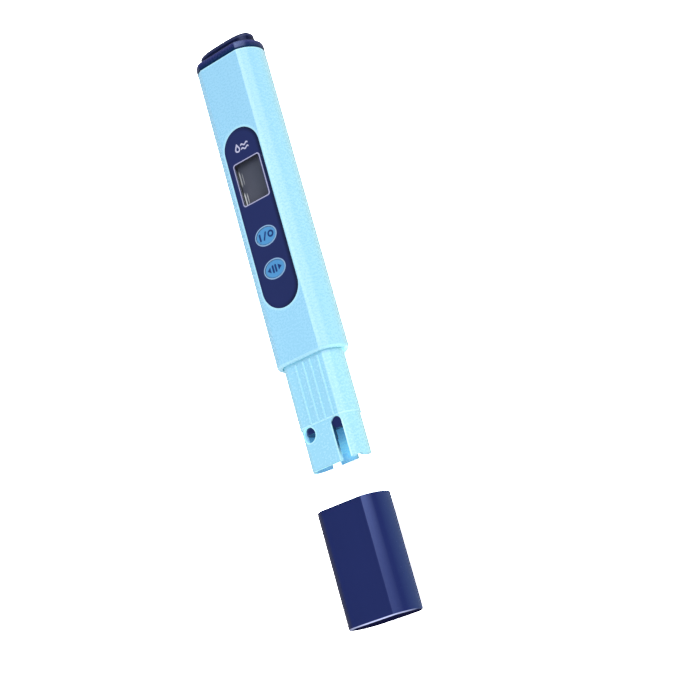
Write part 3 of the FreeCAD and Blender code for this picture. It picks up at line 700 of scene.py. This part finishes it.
WHITE = moulded("plastic_white", (222, 222, 216), (214, 213, 206), (232, 232, 226), rough=0.45)
BLACK = moulded("plastic_black", (26, 26, 28), (21, 21, 23), (36, 36, 38), rough=0.42)
CHIP = moulded("epoxy_black", (24, 24, 26), (20, 20, 22), (34, 34, 36),
               rough=0.5, coat=0.1, grain=2.5)
TRIM = moulded("trimmer_blue", (24, 66, 160), (20, 58, 148), (34, 78, 172), rough=0.4)
BEAD = moulded("epoxy_bead", (22, 24, 30), (18, 19, 25), (30, 32, 40), rough=0.16, coat=0.6)
RUBBER = rubber("seal_rubber")
STEEL = metal("steel_zinc", (205, 205, 206), (150, 150, 152), rough=0.28)
CAN = metal("cell_steel", (214, 214, 212), (165, 165, 162), rough=0.2, along=(1, 1, 0.05))
NICKEL = metal("contact_nickel", (210, 203, 188), (160, 152, 136), rough=0.26)
TITAN = metal("titanium_rod", (176, 172, 168), (128, 124, 120), rough=0.3,
              along=(1.0, 8.0, 1.0), scale=900.0)
BRASS = metal("brass_turned", (214, 176, 96), (150, 112, 52), rough=0.28)
BOARD = board("board_green")
CERAMIC = grained("part_ceramic", 4000.0, (168, 132, 92), (150, 116, 80),
                  rough=(0.35, 0.5), bump=(0.2, 0.00003))
RESISTOR = grained("resistor_black", 4000.0, (28, 28, 32), (40, 40, 44),
                   rough=(0.3, 0.45), bump=(0.2, 0.00003))
ZEBRA = zebra("zebra_rubber")
WIRE = wire_jacket("wire_jacket")
GLASS = window_clear("window_clear")
LCD = lcd_face("lcd_glass")
FOIL = grained("lcd_reflector", 2400.0, (120, 122, 118), (138, 140, 134),
               rough=(0.4, 0.55), bump=(0.1, 0.00002), metal=0.6)

LOOK = (
    (BLUE, "body_shell"),
    (SLEEVE, "probe_sleeve"),
    (NAVY_CAP, "probe_cap"),
    (NAVY_GRIP, "battery_cap"),
    (RUBBER, "battery_cap_seal electrode_seal"),
    (LABEL, "face_label"),
    (GLASS, "display_window"),
    (KEY, "onoff_button hold_button"),
    (BLACK, "onoff_switch_base hold_switch_base lcd_frame"),
    (WHITE, "onoff_switch_plunger hold_switch_plunger inner_chassis battery_holder"),
    (LCD, "lcd_glass_front lcd_glass_rear"),
    (FOIL, "lcd_reflector"),
    (ZEBRA, "zebra_strip"),
    (BOARD, "circuit_board"),
    (CHIP, "controller_chip amplifier_chip"),
    (STEEL, "clock_crystal board_screws"),
    (TRIM, "calibration_trimmer_base"),
    (BRASS, "calibration_trimmer_rotor"),
    (CERAMIC, "capacitors"),
    (RESISTOR, "resistors"),
    (CAN, "battery_cell_left battery_cell_right"),
    (NICKEL, "battery_contact_negative battery_contact_positive"),
    (NAVY, "electrode_block"),
    (TITAN, "electrode_pin_left electrode_pin_right"),
    (BEAD, "temperature_probe"),
    (WIRE, "electrode_wires thermistor_wires battery_wires"),
)


def assign(thing, material):
    thing.data.materials.clear()
    thing.data.materials.append(material)


for material, pieces in LOOK:
    for piece in pieces.split():
        assign(nodes[piece], material)


# =====================================================================
# outlines of the printed marks, drawing millimetres
# =====================================================================
def round_rect(cx, cy, half_x, half_y, radius, steps=10):
    points = []
    for sx, sy, start in ((1, 1, 0), (-1, 1, 90), (-1, -1, 180), (1, -1, 270)):
        for k in range(steps + 1):
            angle = math.radians(start + 90 * k / steps)
            points.append((cx + sx * (half_x - radius) + radius * math.cos(angle),
                           cy + sy * (half_y - radius) + radius * math.sin(angle)))
    return points


def oval(cx, cy, half_x, half_y, steps=96):
    angles = [2 * math.pi * k / steps for k in range(steps)]
    return [(cx + half_x * math.cos(a), cy + half_y * math.sin(a)) for a in angles]


def bar(x0, y0, x1, y1, width, steps=6):
    """Round-ended stroke."""
    heading = math.atan2(y1 - y0, x1 - x0)
    points = []
    for cx, cy, start in ((x1, y1, -math.pi / 2), (x0, y0, math.pi / 2)):
        for k in range(steps + 1):
            angle = heading + start + math.pi * k / steps
            points.append((cx + width / 2 * math.cos(angle), cy + width / 2 * math.sin(angle)))
    return points


def wave(x0, x1, y, height, width, steps=36, turns=1.5):
    top, low = [], []
    for k in range(steps + 1):
        x = x0 + (x1 - x0) * k / steps
        middle = y + height * math.sin(2 * math.pi * turns * k / steps)
        top.append((x, middle + width / 2))
        low.append((x, middle - width / 2))
    return top + low[::-1]


def drop(cx, cy, radius, height, steps=40):
    """Water drop: round bottom, pointed top."""
    points = []
    lean = math.asin(radius / (height - radius))
    for k in range(steps + 1):
        angle = math.pi - lean + (math.pi + 2 * lean) * k / steps
        points.append((cx + radius * math.cos(angle), cy + radius * math.sin(angle)))
    points.append((cx, cy + height - radius))
    return points


# =====================================================================
# printed marks: thin films of ink
# =====================================================================
def film(name, loops, material, holes=(), z=LABEL_INK_Z, body="handset"):
    """Flat film from closed outlines, with holes."""
    curve = bpy.data.curves.new(name, "CURVE")
    curve.dimensions = "2D"
    curve.fill_mode = "BOTH"
    curve.extrude = INK_THICK * MM / 2
    for loop in list(loops) + list(holes):
        spline = curve.splines.new("POLY")
        spline.points.add(len(loop) - 1)
        for point, (x, y) in zip(spline.points, loop):
            point.co = (x * MM, drawing_y(y), 0, 1)
        spline.use_cyclic_u = True
    holder = bpy.data.objects.new(name + "_c", curve)
    scene.collection.objects.link(holder)
    holder.location = (0, 0, (z + INK_THICK / 2) * MM)
    bpy.context.view_layer.update()
    graph = bpy.context.evaluated_depsgraph_get()
    mesh = bpy.data.meshes.new_from_object(holder.evaluated_get(graph))
    mesh.transform(holder.matrix_world)
    bm = bmesh.new()
    bm.from_mesh(mesh)
    bmesh.ops.remove_doubles(bm, verts=bm.verts, dist=1e-7)
    bmesh.ops.recalc_face_normals(bm, faces=bm.faces)
    bm.to_mesh(mesh)
    bm.free()
    bpy.data.objects.remove(holder)
    mark = bpy.data.objects.new(name, mesh)
    scene.collection.objects.link(mark)
    assign(mark, material)
    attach(mark, body)
    return mark


def key_film(name, loops, body, key, holes=()):
    """Ink draped over the low crown of a key."""
    lift = 0.000004          # keeps the ink clear of the crown
    mark = film(name, loops, INK_DARK, holes=holes, z=KEY_INK_Z, body=body)
    bm = bmesh.new()
    bm.from_mesh(mark.data)
    bmesh.ops.triangulate(bm, faces=bm.faces)
    half_x, half_y = ((half - KEY_EDGE) * MM for half in KEY_HALF)
    rise = CROWN * MM
    for vert in bm.verts:
        square = (((vert.co.x - key[0] * MM) / half_x) ** 2
                  + ((vert.co.y - drawing_y(key[1])) / half_y) ** 2)
        vert.co.z += -rise + rise * math.sqrt(max(0.0, 1.0 - square)) + lift
    bm.to_mesh(mark.data)
    bm.free()


def ink(name, r, g, b):
    return moulded(name, (r, g, b), (r - 7, g - 7, b - 7), (r + 9, g + 9, b + 8),
                   rough=0.5, spec=0.3)


INK_LINE = ink("ink_line", 158, 160, 192)
INK_RING = ink("ink_ring", 126, 160, 196)
INK_MARK = ink("ink_mark", 172, 174, 202)
INK_DARK = ink("ink_navy", 10, 46, 104)


def label_marks():
    # line round the display window
    wx, wy = WINDOW
    film("print_window_line", [round_rect(wx + 0.12, wy, 5.80, 7.92, radius=1.02)], INK_LINE,
         holes=[round_rect(wx + 0.10, wy, 5.44, 7.58, radius=0.85)])

    # rings round the keys, between two distances from the key's edge
    half_x, half_y = KEY_HALF
    outer, inner = 0.54, 0.105
    for name, key in (("onoff", ONOFF_KEY), ("hold", HOLD_KEY)):
        film("print_%s_ring" % name, [oval(*key, half_x + outer, half_y + outer)], INK_RING,
             holes=[oval(*key, half_x + inner, half_y + inner)])

    # unit mark: a drop beside two ripples
    ripples = [wave(-0.30, 2.95, y, height=0.30, width=0.56) for y in (77.60, 76.15)]
    film("print_unit_mark", [drop(-1.75, 76.75, radius=1.08, height=3.25)] + ripples, INK_MARK,
         holes=[drop(-1.75, 76.75, radius=0.56, height=1.80)])


def onoff_mark():
    """Upright bar, slash and ring."""
    y = ONOFF_KEY[1]
    ring_x, ring_radius, ring_width = 2.08, 0.92, 0.62
    outer, inner = (oval(ring_x, y, radius, radius, steps=48)
                    for radius in (ring_radius + ring_width / 2, ring_radius - ring_width / 2))
    key_film("print_onoff_mark",
             [bar(-2.40, y - 1.02, -2.40, y + 1.02, width=0.74),
              bar(-0.92, y - 1.18, 0.20, y + 1.18, width=0.60), outer],
             "onoff_key", ONOFF_KEY, holes=[inner])


def hold_mark():
    """Two upright bars between outward-pointing triangles."""
    y = HOLD_KEY[1]
    bars = [bar(x, y - 1.05, x, y + 1.05, width=0.72) for x in (-0.62, 0.52)]
    triangles = [[(-3.05, y), (-1.62, y + 1.08), (-1.62, y - 1.08)],
                 [(2.95, y), (1.52, y - 1.08), (1.52, y + 1.08)]]
    key_film("print_hold_mark", bars + triangles, "hold_key", HOLD_KEY)


label_marks()
onoff_mark()
hold_mark()


# =====================================================================
# floor, light, camera
# =====================================================================
def floor():
    """Paper white to the eye, quieter in reflections."""
    bpy.ops.mesh.primitive_plane_add(size=6.0, location=(0, 0, -0.0005))
    plane = bpy.context.object
    plane.name = "floor"
    m = Mat("floor_pale")
    color = m.vary(m.noise(9.0, detail=4.0), (0.80, 0.80, 0.80, 1), (0.83, 0.83, 0.83, 1))
    ray = m.node("ShaderNodeLightPath")
    to_eye = m.math("MULTIPLY_ADD", ray.outputs["Is Camera Ray"], 3.4, 1.0)
    mirrored = m.math("MULTIPLY_ADD", ray.outputs["Is Glossy Ray"], -0.45, 1.0)
    scaled = m.node("ShaderNodeVectorMath", operation="SCALE")
    m.link(color, scaled.inputs[0])
    m.link(m.times(to_eye, mirrored), scaled.inputs["Scale"])
    diffuse = m.node("ShaderNodeBsdfDiffuse")
    m.link(scaled.outputs[0], diffuse.inputs["Color"])
    m.surface(diffuse)
    assign(plane, m.material)


AMBIENT = 0.38       # light of the surrounding white tent on matt surfaces
MIRROR = 0.16        # the tent as seen in glossy reflections
BACKDROP = 1.0       # the tent as seen by the camera


def studio():
    world = bpy.data.worlds.new("studio")
    scene.world = world
    world.use_nodes = True
    tree = world.node_tree
    tree.nodes.clear()
    out = tree.nodes.new("ShaderNodeOutputWorld")
    background = tree.nodes.new("ShaderNodeBackground")
    ray = tree.nodes.new("ShaderNodeLightPath")

    def switch(kind, value):
        """Another value for one kind of ray."""
        mixer = tree.nodes.new("ShaderNodeMix")
        mixer.data_type = "FLOAT"
        tree.links.new(ray.outputs[kind], mixer.inputs["Factor"])
        mixer.inputs[3].default_value = value
        return mixer

    glossy = switch("Is Glossy Ray", MIRROR)
    glossy.inputs[2].default_value = AMBIENT
    camera = switch("Is Camera Ray", BACKDROP)
    tree.links.new(glossy.outputs[0], camera.inputs[2])
    background.inputs[0].default_value = (1, 1, 1, 1)
    tree.links.new(camera.outputs[0], background.inputs[1])
    tree.links.new(background.outputs[0], out.inputs[0])


LIGHT_TARGET = Vector((0, -0.035, 0.008))
LIGHTS = (
    # name, offset from the target, direction of the long side, width, length, watts,
    # seen in reflections
    ("strip_right", (0.34, 0.45, 0.94), (0, 1, 0), 0.42, 0.95, 5.4, True),
    ("strip_side", (0.84, 0.48, 0.70), (0, 1, 0), 0.55, 0.95, 4.0, True),
    ("fill_right", (1.05, 0.10, 0.40), (0, 1, 0), 0.8, 1.2, 4.0, False),
    ("fill_left", (-1.05, 0.10, 0.38), (0, 1, 0), 0.8, 1.2, 7.5, False),
    ("fill_front", (0.10, -1.10, 0.35), (1, 0, 0), 0.7, 1.2, 5.0, False),
    ("strip_front", (0.05, -0.76, 0.76), (1, 0, 0), 0.07, 1.0, 2.4, True),
)


def area_light(name, offset, along, width, length, watts, reflected):
    """Rectangular soft light facing the target."""
    light = bpy.data.lights.new(name, "AREA")
    light.energy = watts
    light.shape = "RECTANGLE"
    light.size = width
    light.size_y = length
    lamp = bpy.data.objects.new(name, light)
    scene.collection.objects.link(lamp)
    place = LIGHT_TARGET + Vector(offset)
    back = (place - LIGHT_TARGET).normalized()
    long_side = Vector(along)
    long_side = (long_side - back * long_side.dot(back)).normalized()
    turned = Matrix((long_side.cross(back), long_side, back)).transposed()
    lamp.matrix_world = Matrix.Translation(place) @ turned.to_4x4()
    lamp.visible_glossy = reflected


CAMERA_PLACE = Vector((0.261177136, -0.1853990045, 0.41788387752))
CAMERA_RIGHT = Vector((0.78736083, -0.2654071, -0.55643687))
CAMERA_BACK = Vector((0.49795987, -0.25832569, 0.82783078))


def camera():
    data = bpy.data.cameras.new("camera")
    holder = bpy.data.objects.new("camera", data)
    scene.collection.objects.link(holder)
    # square the axes up exactly
    back = CAMERA_BACK.normalized()
    up = back.cross(CAMERA_RIGHT.normalized()).normalized()
    right = up.cross(back).normalized()
    turned = Matrix((right, up, back)).transposed()
    holder.matrix_world = Matrix.Translation(CAMERA_PLACE) @ turned.to_4x4()
    data.sensor_width = 36.0
    data.lens = 78.36962
    data.clip_start = 0.01
    data.clip_end = 50
    scene.camera = holder


floor()
studio()
for entry in LIGHTS:
    area_light(*entry)
camera()

scene.view_settings.view_transform = "Standard"
scene.view_settings.look = "None"
scene.view_settings.exposure = 0.0
scene.view_settings.gamma = 1.0
